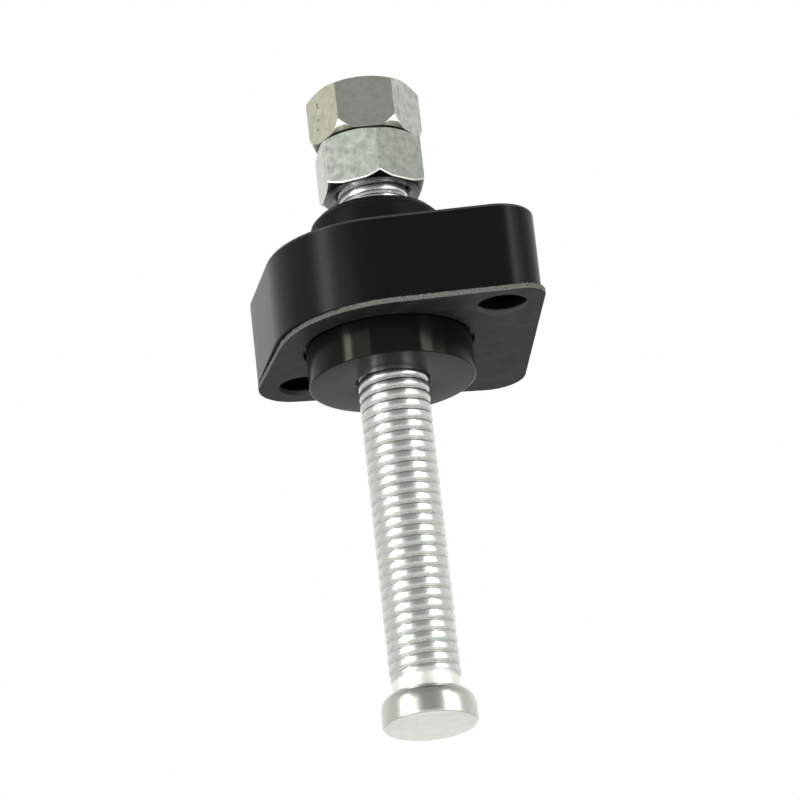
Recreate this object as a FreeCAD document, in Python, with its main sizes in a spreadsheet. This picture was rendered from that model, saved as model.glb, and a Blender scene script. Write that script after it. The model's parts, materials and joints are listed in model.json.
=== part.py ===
import FreeCAD, Part
import math
import os

import Sketcher

# Manual cam chain tensioner for a motorcycle engine.
# The origin is on the bolt's axis, in the plane of the gasket's lower face, which the engine's face meets.
# +Z points out of the engine, towards the nuts. The spigot and the bolt's foot are on the -Z side.

# Driving dimensions: alias, value in millimetres or degrees, and what it is.
DIMENSIONS = [
    ("gasket_thick", 0.6, "gasket thickness"),
    ("block_thick", 10.0, "flange block, from the gasket to its outer face"),
    ("boss_height", 5.25, "boss above the block"),
    ("boss_radius", 7.45, "boss radius"),
    ("boss_chamfer", 1.0, "chamfer round the boss's rim"),
    ("spigot_reach", 4.4, "spigot below the gasket"),
    ("spigot_radius", 9.45, "spigot radius"),
    ("spigot_chamfer", 0.25, "edge break of the spigot's face"),
    ("relief_depth", 0.3, "corner relief at the spigot's root, behind the gasket"),
    ("edge_break", 0.3, "edge break along the block's outer edge"),
    ("near_side", 12.9, "bolt axis to the near side of the block"),
    ("near_turn", -90.0, "direction that the near side faces"),
    ("right_side", 16.65, "bolt axis to the right side"),
    ("right_turn", 6.3, "direction that the right side faces"),
    ("far_side", 15.6, "bolt axis to the far side"),
    ("far_turn", 98.0, "direction that the far side faces"),
    ("left_side", 13.05, "bolt axis to the left side"),
    ("left_turn", 192.8, "direction that the left side faces"),
    ("near_right_round", 4.7, "corner round at the near screw hole"),
    ("far_right_round", 4.5, "corner with no hole"),
    ("far_left_round", 4.8, "corner round at the far screw hole"),
    ("near_left_round", 13.0, "large round beside the bolt axis"),
    ("gasket_near_side", 13.25, "bolt axis to the gasket's near side, which stands proud of the block"),
    ("gasket_right_side", 16.8, "bolt axis to the gasket's right side"),
    ("gasket_far_side", 15.9, "bolt axis to the gasket's far side"),
    ("gasket_left_side", 12.65, "bolt axis to the gasket's left side"),
    ("gasket_left_turn", 195.0, "direction that the gasket's left side faces"),
    ("gasket_near_right_round", 2.6, "gasket corner at the near screw hole"),
    ("gasket_near_left_round", 14.0, "gasket's large round"),
    ("gasket_bore", 9.75, "gasket's hole for the spigot, radius"),
    ("gasket_hole", 2.9, "gasket's screw holes, radius"),
    ("screw_hole", 2.8, "screw hole radius, for M5 screws"),
    ("screw_break", 0.3, "edge break of the screw holes"),
    ("near_hole_x", 13.1, "near screw hole, X from the bolt axis"),
    ("near_hole_y", -8.8, "near screw hole, Y"),
    ("far_hole_x", -10.2, "far screw hole, X"),
    ("far_hole_y", 9.6, "far screw hole, Y"),
    ("thread_radius", 4.0, "bolt radius over the thread's crests, M8"),
    ("thread_play", 0.05, "running clearance round the bolt"),
    ("mouth_chamfer", 0.35, "countersink where the thread enters the body"),
    ("seal_section", 1.2, "seal ring, side of its square section"),
    ("seal_height", 9.5, "seal ring's middle above the mounting plane"),
    ("seal_room", 0.15, "seal groove wider than the ring, each side"),
    ("nut_flats", 11.2, "nuts across the flats"),
    ("nut_clear", 13.4, "circle that clears the nuts' corners, diameter"),
    ("nut_top_ring", 11.0, "round upper face of the nuts, diameter"),
    ("nut_top_slope", 30.0, "slope of the nuts' upper chamfers"),
    ("lock_nut_ring", 11.2, "round seat of the lock nut, diameter"),
    ("lock_nut_slope", 36.0, "slope of the lock nut's lower chamfer"),
    ("end_nut_ring", 11.6, "circle that trims the end nut's lower corners, diameter"),
    ("end_nut_slope", 62.0, "slope of the end nut's lower chamfer"),
    ("nut_height", 6.3, "nut height"),
    ("nut_mouth", 0.55, "countersink of the nuts' threads"),
    ("nut_gap", 2.55, "boss to lock nut, as the lock nut stands backed off by two turns"),
    ("nut_play", 0.05, "lock nut to end nut"),
    ("lock_nut_turn", 11.0, "lock nut about the bolt axis"),
    ("end_nut_turn", 33.3, "end nut about the bolt axis"),
    ("end_recess", 0.4, "bolt end below the end nut's outer face"),
    ("end_chamfer", 0.9, "chamfer of the bolt's end"),
    ("foot_reach", 45.25, "mounting plane to the foot's face"),
    ("foot_height", 3.8, "foot height"),
    ("foot_radius", 5.35, "foot radius"),
    ("foot_face_round", 0.6, "round between the foot's side and face"),
    ("foot_shoulder", 0.9, "slope of the foot's shoulder, along the axis"),
    ("foot_shoulder_run", 1.05, "slope of the foot's shoulder, across the axis"),
    ("foot_shoulder_round", 0.8, "round between the foot's shoulder and side"),
    ("neck_radius", 3.75, "plain neck above the foot"),
    ("neck_length", 1.5, "length of the plain neck"),
    ("neck_chamfer", 0.25, "chamfer between the neck and the foot"),
    ("runout", 0.5, "slope where the thread runs out at the neck, along the axis"),
]

SHEET = "dims"
BLOCK_TOP = "dims.gasket_thick + dims.block_thick"
BOSS_TOP = BLOCK_TOP + " + dims.boss_height"
LOCK_NUT_SEAT = BOSS_TOP + " + dims.nut_gap"
END_NUT_SEAT = LOCK_NUT_SEAT + " + dims.nut_height + dims.nut_play"
BOLT_END = END_NUT_SEAT + " + dims.nut_height - dims.end_recess"
BORE_RADIUS = "dims.thread_radius + dims.thread_play"
SEAL_OUTSIDE = BORE_RADIUS + " + dims.seal_section"
HOLES = [("near_hole_x", "near_hole_y"), ("far_hole_x", "far_hole_y")]
START_RADIUS = 3.0  # a circle's size before its cell drives it
CLOSE = 1e-4  # two lengths are the same within this, in millimetres

# The flange outline runs anticlockwise from the near side. Each row names the cells of one straight side:
# its distance from the bolt axis, the direction it faces, and the round at the corner that ends it.
BLOCK_SIDES = [
    ("near_side", "near_turn", "near_right_round"),
    ("right_side", "right_turn", "far_right_round"),
    ("far_side", "far_turn", "far_left_round"),
    ("left_side", "left_turn", "near_left_round"),
]
GASKET_SIDES = [
    ("gasket_near_side", "near_turn", "gasket_near_right_round"),
    ("gasket_right_side", "right_turn", "far_right_round"),
    ("gasket_far_side", "far_turn", "far_left_round"),
    ("gasket_left_side", "gasket_left_turn", "gasket_near_left_round"),
]

doc = FreeCAD.newDocument("cam_chain_tensioner")


def make_sheet():
    """The spreadsheet of driving dimensions, one row each: words, value, alias."""
    sheet = doc.addObject("Spreadsheet::Sheet", SHEET)
    for row, (alias, value, words) in enumerate(DIMENSIONS, start=1):
        sheet.set(f"A{row}", words)
        sheet.set(f"B{row}", str(value))
        sheet.setAlias(f"B{row}", alias)
    doc.recompute()
    return sheet


sheet = make_sheet()


def size(alias):
    return float(sheet.get(alias))


def new_body(label):
    body = doc.addObject("PartDesign::Body", label)
    body.Label = label
    return body


def new_sketch(body, name, plane="XY_Plane", height=None):
    """A sketch on one of the body's origin planes, lifted off it by an expression."""
    sketch = body.newObject("Sketcher::SketchObject", name)
    origin_plane = next(f for f in body.Origin.OriginFeatures if f.Role == plane)
    sketch.AttachmentSupport = [(origin_plane, "")]
    sketch.MapMode = "FlatFace"
    if height:
        sketch.setExpression("AttachmentOffset.Base.z", height)
    return sketch


def drive(sketch, constraint, name, expression):
    """Adds a dimension to a sketch under a name and binds it to the spreadsheet."""
    index = sketch.addConstraint(constraint)
    sketch.renameConstraint(index, name)
    sketch.setExpression(f"Constraints.{name}", expression)


def circle_sketch(body, name, radius, height=None, centres=((None, None),)):
    """Circles of one radius, on the axis or at centres given as expressions for X and Y."""
    sketch = new_sketch(body, name, height=height)
    up = FreeCAD.Vector(0, 0, 1)
    for number, (x, y) in enumerate(centres):
        centre = FreeCAD.Vector(0, 0, 0)
        if x:
            centre = FreeCAD.Vector(size(x), size(y), 0)
        index = sketch.addGeometry(Part.Circle(centre, up, START_RADIUS), False)
        drive(sketch, Sketcher.Constraint("Radius", index, START_RADIUS), f"radius{number}", radius)
        if x:
            place_point(sketch, index, 3, f"centre{number}", f"dims.{x}", f"dims.{y}", centre)
        else:
            sketch.addConstraint(Sketcher.Constraint("Coincident", index, 3, -1, 1))
    return sketch


def place_point(sketch, index, point, name, x, y, start):
    """Fixes a point of a sketch by its two distances from the origin."""
    drive(sketch, Sketcher.Constraint("DistanceX", -1, 1, index, point, start.x), name + "_x", x)
    drive(sketch, Sketcher.Constraint("DistanceY", -1, 1, index, point, start.y), name + "_y", y)


def pad(body, sketch, name, length):
    feature = body.newObject("PartDesign::Pad", name)
    feature.Profile = sketch
    feature.setExpression("Length", length)
    doc.recompute()
    return feature


def cut_through(body, sketch, name):
    """Cuts a sketch's shapes right through the body, both ways from the sketch."""
    feature = body.newObject("PartDesign::Pocket", name)
    feature.Profile = sketch
    feature.SideType = "Symmetric"
    feature.Type = "ThroughAll"
    recompute_cut(body, feature)
    return feature


def turn_out(body, sketch, name):
    """Turns a groove out of the body, round the bolt's axis."""
    feature = body.newObject("PartDesign::Groove", name)
    feature.Profile = sketch
    feature.ReferenceAxis = (sketch, ["V_Axis"])
    feature.Angle = 360.0
    recompute_cut(body, feature)
    return feature


def recompute_cut(body, feature):
    """Rebuilds the body and makes sure that a cut has taken material away."""
    before = feature.BaseFeature.Shape.Volume
    doc.recompute()
    if feature.Shape.Volume >= before:
        raise RuntimeError(f"{body.Label}: {feature.Label} cuts nothing")


def ring_edges(shape, radius, height):
    """Names of the round edges with a radius and a height, both in millimetres."""
    names = []
    for number, edge in enumerate(shape.Edges, start=1):
        if not isinstance(edge.Curve, Part.Circle):
            continue
        right_size = abs(edge.Curve.Radius - radius) < CLOSE
        if right_size and abs(edge.Curve.Center.z - height) < CLOSE:
            names.append(f"Edge{number}")
    return names


def level_edges(shape, height, outside):
    """Names of the edges that lie at a height and further from the axis than a radius."""
    names = []
    for number, edge in enumerate(shape.Edges, start=1):
        box = edge.BoundBox
        middle = edge.valueAt((edge.FirstParameter + edge.LastParameter) / 2)
        level = abs(box.ZMin - height) < CLOSE and abs(box.ZMax - height) < CLOSE
        if level and math.hypot(middle.x, middle.y) > outside:
            names.append(f"Edge{number}")
    return names


def dress(body, kind, name, edges, amount):
    """A Chamfer or Fillet on named edges of the body's last shape."""
    if not edges:
        raise RuntimeError(f"{body.Label}: {name} finds no edge")
    base = body.Tip
    feature = body.newObject("PartDesign::" + kind, name)
    feature.Base = (base, edges)
    feature.setExpression("Size" if kind == "Chamfer" else "Radius", amount)
    doc.recompute()
    return feature


def side_line(distance, turn):
    """Unit normal of a flange side and its distance from the bolt axis."""
    facing = math.radians(size(turn))
    return FreeCAD.Vector(math.cos(facing), math.sin(facing), 0), size(distance)


def meeting_point(first, second):
    """The point where two sides, given as normal and distance, would meet in a sharp corner."""
    (n1, d1), (n2, d2) = first, second
    across = n1.x * n2.y - n1.y * n2.x
    return FreeCAD.Vector((d1 * n2.y - d2 * n1.y) / across, (n1.x * d2 - n2.x * d1) / across, 0)


def corner_arc(first, second, radius):
    """The tangent arc that rounds the corner between two sides."""
    (n1, d1), (n2, d2) = first, second
    centre = meeting_point((n1, d1 - radius), (n2, d2 - radius))
    circle = Part.Circle(centre, FreeCAD.Vector(0, 0, 1), radius)
    return Part.ArcOfCircle(circle, math.atan2(n1.y, n1.x), math.atan2(n2.y, n2.x))


def outline_sketch(body, name, sides, height=None):
    """The flange outline: straight sides, each set by its direction and its distance from the bolt axis,
    with a tangent arc in each corner."""
    sketch = new_sketch(body, name, height=height)
    count = len(sides)
    lines = [side_line(distance, turn) for distance, turn, _ in sides]
    arcs = [corner_arc(lines[i], lines[(i + 1) % count], size(sides[i][2])) for i in range(count)]
    for i in range(count):
        sketch.addGeometry(Part.LineSegment(arcs[i - 1].EndPoint, arcs[i].StartPoint), False)
        sketch.addGeometry(arcs[i], False)
    for i, (distance, turn, corner) in enumerate(sides):
        line = 2 * i
        arc = line + 1
        next_line = (line + 2) % (2 * count)
        along = math.radians(size(turn) + 90.0)
        sketch.addConstraint(Sketcher.Constraint("Tangent", line, 2, arc, 1))
        sketch.addConstraint(Sketcher.Constraint("Tangent", arc, 2, next_line, 1))
        drive(sketch, Sketcher.Constraint("Angle", line, along), turn, f"(dims.{turn} + 90) * 1 deg")
        away = Sketcher.Constraint("Distance", -1, 1, line, size(distance))
        drive(sketch, away, distance, f"dims.{distance}")
        drive(sketch, Sketcher.Constraint("Radius", arc, size(corner)), corner, f"dims.{corner}")
    return sketch


def profile_sketch(body, name, points):
    """A closed half section for turning: straight runs through points given as expressions for radius
    and height. Starting places only need the right order, so each point also carries rough numbers."""
    sketch = new_sketch(body, name, plane="XZ_Plane")
    rough = [FreeCAD.Vector(r, z, 0) for _, _, r, z in points]
    count = len(points)
    for i in range(count):
        sketch.addGeometry(Part.LineSegment(rough[i], rough[(i + 1) % count]), False)
    for i in range(count):
        sketch.addConstraint(Sketcher.Constraint("Coincident", i, 2, (i + 1) % count, 1))
    for i, (radius, height, _, _) in enumerate(points):
        place_point(sketch, i, 1, f"point{i}", radius, height, rough[i])
    return sketch


def make_body():
    """The machined aluminium body: flange block, spigot, boss, thread bore, seal groove and screw holes."""
    body = new_body("tensioner_body")
    outline = outline_sketch(body, "block_outline", BLOCK_SIDES, "dims.gasket_thick")
    pad(body, outline, "block", "dims.block_thick")
    spigot = circle_sketch(body, "spigot_circle", "dims.spigot_radius", "-dims.spigot_reach")
    pad(body, spigot, "spigot", "dims.spigot_reach + dims.gasket_thick")
    boss = circle_sketch(body, "boss_circle", "dims.boss_radius", BLOCK_TOP)
    pad(body, boss, "boss", "dims.boss_height")
    cut_through(body, circle_sketch(body, "bore_circle", BORE_RADIUS), "thread_bore")
    cut_through(body, circle_sketch(body, "screw_circles", "dims.screw_hole", centres=HOLES), "screw_holes")
    turn_out(body, relief_section(body), "corner_relief")
    turn_out(body, seal_section(body), "seal_groove")

    block_top = size("gasket_thick") + size("block_thick")
    boss_top = block_top + size("boss_height")
    bore = size("thread_radius") + size("thread_play")
    spigot_face = -size("spigot_reach")
    shape = body.Tip.Shape
    mouths = ring_edges(shape, bore, boss_top) + ring_edges(shape, bore, spigot_face)
    dress(body, "Chamfer", "thread_mouths", mouths, "dims.mouth_chamfer")
    rim = ring_edges(body.Tip.Shape, size("boss_radius"), boss_top)
    dress(body, "Chamfer", "boss_rim", rim, "dims.boss_chamfer")
    nose = ring_edges(body.Tip.Shape, size("spigot_radius"), spigot_face)
    dress(body, "Chamfer", "spigot_nose", nose, "dims.spigot_chamfer")
    screw_rims = ring_edges(body.Tip.Shape, size("screw_hole"), block_top)
    dress(body, "Chamfer", "screw_rims", screw_rims, "dims.screw_break")
    outer_edge = outline_edges(body.Tip.Shape, block_top)
    dress(body, "Chamfer", "outer_edge", outer_edge, "dims.edge_break")
    return body


def outline_edges(shape, height):
    """The edges of the flange outline at a height: those that are not round the boss or a screw hole."""
    rims = ring_edges(shape, size("boss_radius"), height)
    rims += ring_edges(shape, size("screw_hole") + size("screw_break"), height)
    return [name for name in level_edges(shape, height, size("boss_radius")) if name not in rims]


def relief_section(body):
    """Half section of the corner relief at the spigot's root, in the gasket's thickness."""
    inside = "dims.spigot_radius - dims.relief_depth"
    outside = "dims.spigot_radius + dims.relief_depth"
    return profile_sketch(body, "relief_section", [
        (inside, "0", 9.0, 0.0),
        (outside, "0", 10.0, 0.0),
        (outside, "dims.gasket_thick", 10.0, 0.5),
        (inside, "dims.gasket_thick", 9.0, 0.5),
    ])


def seal_section(body):
    """Half section of the seal's groove, from inside the bore out to the groove's floor."""
    floor = SEAL_OUTSIDE + " + dims.thread_play"
    half = "(dims.seal_section / 2 + dims.seal_room)"
    below = f"dims.seal_height - {half}"
    above = f"dims.seal_height + {half}"
    return profile_sketch(body, "seal_section", [
        ("dims.thread_radius / 2", below, 2.0, 8.8),
        (floor, below, 5.3, 8.8),
        (floor, above, 5.3, 10.2),
        ("dims.thread_radius / 2", above, 2.0, 10.2),
    ])


def make_gasket():
    """The paper gasket: the flange outline a little larger, with holes for the spigot and the screws."""
    body = new_body("flange_gasket")
    pad(body, outline_sketch(body, "gasket_outline", GASKET_SIDES), "sheet", "dims.gasket_thick")
    cut_through(body, circle_sketch(body, "spigot_hole", "dims.gasket_bore"), "spigot_opening")
    screws = circle_sketch(body, "screw_circles", "dims.gasket_hole", centres=HOLES)
    cut_through(body, screws, "screw_openings")
    return body


def make_bolt():
    """The adjuster bolt: threaded shank, plain neck and the head turned down to a round foot."""
    body = new_body("adjuster_bolt")
    foot_top = "dims.foot_height - dims.foot_reach"
    neck_top = foot_top + " + dims.neck_length"
    shoulder = foot_top + " - dims.foot_shoulder"
    shoulder_radius = "dims.foot_radius - dims.foot_shoulder_run"
    section = profile_sketch(body, "bolt_section", [
        ("0", "-dims.foot_reach", 0.0, -45.0),
        ("dims.foot_radius", "-dims.foot_reach", 5.0, -45.0),
        ("dims.foot_radius", shoulder, 5.0, -42.0),
        (shoulder_radius, foot_top, 4.2, -41.0),
        ("dims.neck_radius + dims.neck_chamfer", foot_top, 3.9, -41.0),
        ("dims.neck_radius", foot_top + " + dims.neck_chamfer", 3.6, -40.8),
        ("dims.neck_radius", neck_top, 3.6, -39.0),
        ("dims.thread_radius", neck_top + " + dims.runout", 4.0, -38.5),
        ("dims.thread_radius", BOLT_END + " - dims.end_chamfer", 4.0, 29.0),
        ("dims.thread_radius - dims.end_chamfer", BOLT_END, 3.0, 30.0),
        ("0", BOLT_END, 0.0, 30.0),
    ])
    turned = body.newObject("PartDesign::Revolution", "turned_bar")
    turned.Profile = section
    turned.ReferenceAxis = (section, ["V_Axis"])
    turned.Angle = 360.0
    doc.recompute()

    face_level = -size("foot_reach")
    foot_level = face_level + size("foot_height")
    shoulder_level = foot_level - size("foot_shoulder")
    foot = size("foot_radius")
    face_edge = ring_edges(body.Tip.Shape, foot, face_level)
    dress(body, "Fillet", "foot_face_edge", face_edge, "dims.foot_face_round")
    shoulder_edge = ring_edges(body.Tip.Shape, foot, shoulder_level)
    dress(body, "Fillet", "shoulder_edge", shoulder_edge, "dims.foot_shoulder_round")
    return body


def hexagon_sketch(body, name):
    """The nuts' hexagon about the axis with a corner on the -Y side, sized across its flats."""
    sketch = new_sketch(body, name)
    reach = size("nut_flats") / math.sqrt(3.0)
    turns = [math.radians(60.0 * i - 90.0) for i in range(6)]
    corners = [FreeCAD.Vector(reach * math.cos(turn), reach * math.sin(turn), 0) for turn in turns]
    for i in range(6):
        sketch.addGeometry(Part.LineSegment(corners[i], corners[(i + 1) % 6]), False)
    round_corners = Part.Circle(FreeCAD.Vector(0, 0, 0), FreeCAD.Vector(0, 0, 1), reach)
    guide = sketch.addGeometry(round_corners, True)
    sketch.addConstraint(Sketcher.Constraint("Coincident", guide, 3, -1, 1))
    for i in range(6):
        sketch.addConstraint(Sketcher.Constraint("Coincident", i, 2, (i + 1) % 6, 1))
        sketch.addConstraint(Sketcher.Constraint("PointOnObject", i, 1, guide))
    for i in range(1, 6):
        sketch.addConstraint(Sketcher.Constraint("Equal", 0, i))
    sketch.addConstraint(Sketcher.Constraint("PointOnObject", 0, 1, -2))
    half_flats = Sketcher.Constraint("Distance", -1, 1, 0, size("nut_flats") / 2)
    drive(sketch, half_flats, "half_flats", "dims.nut_flats / 2")
    return sketch


def make_nut(label, seat):
    """A hexagon nut at a height and its own turn, with chamfered corners, steeper at the seat than above."""
    body = new_body(label)
    pad(body, hexagon_sketch(body, "hexagon"), "hexagon_bar", "dims.nut_height")
    clear = "dims.nut_clear / 2"
    top_ring = "dims.nut_top_ring / 2"
    seat_ring = f"dims.{label}_ring / 2"
    top_drop = f"({clear} - {top_ring}) * tan(dims.nut_top_slope * 1 deg)"
    seat_rise = f"({clear} - {seat_ring}) * tan(dims.{label}_slope * 1 deg)"
    beyond = "dims.nut_flats"
    trim = profile_sketch(body, "corner_trim", [
        (seat_ring, "0", 5.7, 0.0),
        (beyond, "0", 11.0, 0.0),
        (beyond, "dims.nut_height", 11.0, 6.0),
        (top_ring, "dims.nut_height", 5.5, 6.0),
        (clear, f"dims.nut_height - {top_drop}", 6.7, 5.5),
        (clear, seat_rise, 6.7, 0.9),
    ])
    turn_out(body, trim, "trimmed_corners")
    cut_through(body, circle_sketch(body, "bore_circle", BORE_RADIUS), "thread_bore")
    bore = size("thread_radius") + size("thread_play")
    shape = body.Tip.Shape
    mouths = ring_edges(shape, bore, 0.0) + ring_edges(shape, bore, size("nut_height"))
    dress(body, "Chamfer", "thread_mouths", mouths, "dims.nut_mouth")
    body.setExpression("Placement.Base.z", seat)
    body.setExpression("Placement.Rotation.Angle", f"dims.{label}_turn * 1 deg")
    doc.recompute()
    return body


def make_seal():
    """The square-section rubber ring that rides in the groove inside the bore, round the bolt."""
    body = new_body("bolt_seal")
    foot = "dims.seal_height - dims.seal_section / 2"
    pad(body, circle_sketch(body, "outside_circle", SEAL_OUTSIDE, foot), "ring", "dims.seal_section")
    cut_through(body, circle_sketch(body, "inside_circle", BORE_RADIUS), "ring_bore")
    return body


def check_document(parts):
    """Stops if any object failed to build or any sub-part has no valid solid."""
    for item in doc.Objects:
        if "Invalid" in item.State or "Error" in item.State:
            raise RuntimeError(f"{item.Label} failed: {item.State}")
    for part in parts:
        shape = part.Shape
        if shape.isNull() or not shape.isValid() or len(shape.Solids) != 1:
            raise RuntimeError(f"{part.Label} is not one valid solid")


def write_parts(parts):
    os.makedirs("parts", exist_ok=True)
    for part in parts:
        part.Shape.exportStep(f"parts/{part.Label}.step")
        box = part.Shape.BoundBox
        print(f"{part.Label}: {part.Shape.Volume:.1f} mm3, z {box.ZMin:.2f} to {box.ZMax:.2f}")


parts = [
    make_body(),
    make_gasket(),
    make_bolt(),
    make_nut("lock_nut", LOCK_NUT_SEAT),
    make_nut("end_nut", END_NUT_SEAT),
    make_seal(),
]
doc.recompute()
check_document(parts)
write_parts(parts)
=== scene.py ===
import json
import math

import bmesh
import bpy
from mathutils import Matrix, Vector, noise


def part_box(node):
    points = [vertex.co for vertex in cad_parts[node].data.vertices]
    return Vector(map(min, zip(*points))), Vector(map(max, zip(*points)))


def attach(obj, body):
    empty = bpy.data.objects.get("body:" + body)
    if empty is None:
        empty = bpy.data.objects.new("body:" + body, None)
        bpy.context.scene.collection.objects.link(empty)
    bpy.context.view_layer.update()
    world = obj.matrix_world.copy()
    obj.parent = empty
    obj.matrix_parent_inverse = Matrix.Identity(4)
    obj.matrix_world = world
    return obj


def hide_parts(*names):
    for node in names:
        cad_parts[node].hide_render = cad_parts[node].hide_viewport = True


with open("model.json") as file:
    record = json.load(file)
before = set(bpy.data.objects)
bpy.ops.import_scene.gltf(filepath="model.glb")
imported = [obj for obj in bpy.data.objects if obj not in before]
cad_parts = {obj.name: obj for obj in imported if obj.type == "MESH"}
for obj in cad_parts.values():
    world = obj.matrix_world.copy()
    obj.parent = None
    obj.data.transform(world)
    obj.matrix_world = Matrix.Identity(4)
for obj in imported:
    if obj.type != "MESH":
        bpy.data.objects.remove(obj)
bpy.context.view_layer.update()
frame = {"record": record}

# Sizes are in millimetres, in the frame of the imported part: the bolt's axis is Z, and the engine's face
# is at 0.
MM = 0.001
WELD = 1e-6  # points closer than this, in metres, are one point


def heights(name):
    """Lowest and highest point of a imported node, in millimetres."""
    low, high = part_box(name)
    return low.z / MM, high.z / MM


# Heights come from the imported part.
SPIGOT_FACE, BOSS_TOP = heights("tensioner_body")
GASKET_LOW, GASKET_TOP = heights("flange_gasket")
FOOT_FACE, BOLT_END = heights("adjuster_bolt")
LOCK_NUT_SEAT, LOCK_NUT_TOP = heights("lock_nut")
END_NUT_SEAT, END_NUT_TOP = heights("end_nut")
SEAL_LOW, SEAL_TOP = heights("bolt_seal")

mounts = {mount["name"]: mount for mount in frame["record"]["mounts"]}
SPIGOT_RADIUS = mounts["spigot"]["dims"]["r_mm"]
SCREW_HOLE = mounts["engine_screws"]["dims"]["hole_r_mm"]

# The flange: each straight side's distance from the bolt axis, the direction it faces in degrees, and
# the round at the corner that ends it, anticlockwise from the near side.
BLOCK_SIDES = [(12.9, -90.0, 4.7), (16.65, 6.3, 4.5), (15.6, 98.0, 4.8), (13.05, 192.8, 13.0)]
GASKET_SIDES = [(13.25, -90.0, 2.6), (16.8, 6.3, 4.5), (15.9, 98.0, 4.8), (12.65, 195.0, 14.0)]
BLOCK_TOP = GASKET_TOP + 10.0
BOSS_RADIUS = 7.45
BOSS_CHAMFER = 1.0
SCREW_HOLES = [(13.1, -8.8), (-10.2, 9.6)]
EDGE_BREAK = 0.3
LAND = 0.02  # flat strip beside a broken edge
RELIEF = 0.3  # the spigot is slimmer by this within the gasket
FINE_ROUND = 0.05
SPIGOT_ROUND = 0.22
BOSS_TOP_ROUND, BOSS_SIDE_ROUND = 0.2, 0.3
SEAL_ROOM = 0.15  # groove wider than the seal ring, each side
SEAL_SLACK = 0.05  # groove deeper than the seal ring

GASKET_HOLE = 2.9
GASKET_BORE = 9.75
GASKET_FACE = GASKET_TOP - 0.01  # just clear of the block

# The gasket's cut edge is a stack of ragged lines, each with its inset, its height and how far it strays.
# Torn fibres stand along it.
CUT_LINES = [
    (0.13, GASKET_LOW, 0.02),
    (0.1, GASKET_LOW + 0.1, 0.06),
    (0.12, GASKET_TOP - 0.15, 0.1),
    (0.14, GASKET_FACE, 0.12),
]
CUT_SPACING = (0.35, 2.0)  # between points, in millimetres on a side and in degrees on a round
CUT_TUFT = 0.35  # size of the tufts that make the lines ragged
FIBRE_COUNT = 900
FIBRE_LENGTH = 0.26
FIBRE_THICKNESS = 0.03  # coarser than real fibres, so that they show
FIBRE_SPREAD = 0.26  # height over which the fibres stand
FIBRE_INSET = 0.27
FIBRE_LEVEL = GASKET_TOP - 0.28
FIBRE_SEED = 7

# The thread is M8 by 1.25, right-handed. The nuts and the body carry the same helix with a little play.
PITCH = 1.25
CREST = 4.0
THREAD_DEPTH = 0.4
BORE = 4.05
BORE_DEPTH = 0.36
BORE_FADE = 0.8  # length over which an inner thread starts and ends
CREST_POWER = 3.8  # 2 is a parabola from crest to root, and more is a flatter crest
THREAD_PHASE = -0.33  # turns that put the crests where the photograph shows them
DULL_RADIUS = CREST - 0.2  # the bolt's thread is dull within it
MOUTH = 0.35  # chamfer at each end of the body's bore
NUT_MOUTH = 0.55  # chamfer at each end of a nut's bore
NECK_RADIUS = 3.75
NECK_TOP = -39.95
NECK_FOOT = 0.1  # the neck's finish ends this far above the foot
RUNOUT = 0.5  # length over which the bolt's thread starts at the neck
END_CHAMFER = 0.9
FOOT_TOP = -41.45
FOOT_RADIUS = 5.35
FOOT_SHOULDER, FOOT_SHOULDER_RUN = 0.9, 1.05
FOOT_PAINTED_FACE = 0.2  # the face's paler zinc, a painted reflection of the floor, reaches this far up its rim
NECK_ROUND = 0.1
FOOT_TOP_ROUND, FOOT_SHOULDER_ROUND, FOOT_FACE_ROUND = 0.2, 1.35, 0.7
FOOT_STEPS = 8  # steps round each of the foot's corners

# Each cone that trims a nut's corners: its diameter at the nut's end, its slope, the round of its worn
# edge, and the height above the end down to which it has the edge's material. With an endless height only
# the worn edge has that material. On the lock nut the edge's material is a paler zinc, a painted highlight,
# and below it the cone takes the seat's material, which on both nuts is a darker zinc that paints shade.
NUT_TOP_CONE = (11.0, 30.0, 0.1, math.inf)
LOCK_NUT_CONE = (11.2, 36.0, 0.25, math.inf)
END_NUT_CONE = (11.6, 62.0, 0.1, 0.55)
NUT_FLATS = 11.2
NUT_STEPS = 3  # steps round each worn edge
NUT_SHARP = 20.0  # degrees past which an edge of a nut is sharp
LOCK_NUT_TURN, END_NUT_TURN = 11.0, 33.3  # how far each nut is turned, in degrees
END_NUT_PITS = [(-5.15, -2.36, 29.5), (-5.12, -2.4, 29.1), (-5.2, -2.3, 27.6), (-5.35, -2.05, 26.5)]

COLUMNS = 72  # points round each threaded or turned piece
BODY_COLUMNS = 96
HOLE_COLUMNS = 36
THREAD_ROWS = 16  # points along one pitch


def linear(colour):
    """An sRGB hex colour as linear red, green, blue and alpha."""
    parts = [int(colour[i:i + 2], 16) / 255 for i in (1, 3, 5)]
    return tuple(c / 12.92 if c <= 0.04045 else ((c + 0.055) / 1.055) ** 2.4 for c in parts) + (1.0,)


# Inputs of a Mix node, by number, and its colour output.
SHARE, FIRST, SECOND, FIRST_COLOUR, SECOND_COLOUR = 0, 2, 3, 6, 7
MIXED_COLOUR = 2


def add(tree, kind, inputs=None, **settings):
    """Adds a node with its settings. Each input is a value, or the node or socket that feeds it."""
    made = tree.nodes.new(kind)
    for name, value in settings.items():
        setattr(made, name, value)
    for key, value in (inputs or {}).items():
        if isinstance(value, bpy.types.Node):
            value = value.outputs[0]
        if isinstance(value, bpy.types.NodeSocket):
            tree.links.new(value, made.inputs[key])
        else:
            made.inputs[key].default_value = value
    return made


# Materials


def new_material(name):
    """An empty material, its nodes and its Object coordinates."""
    material = bpy.data.materials.new(name)
    material.use_nodes = True
    tree = material.node_tree
    tree.nodes.clear()
    return material, tree, add(tree, "ShaderNodeTexCoord").outputs["Object"]


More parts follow.
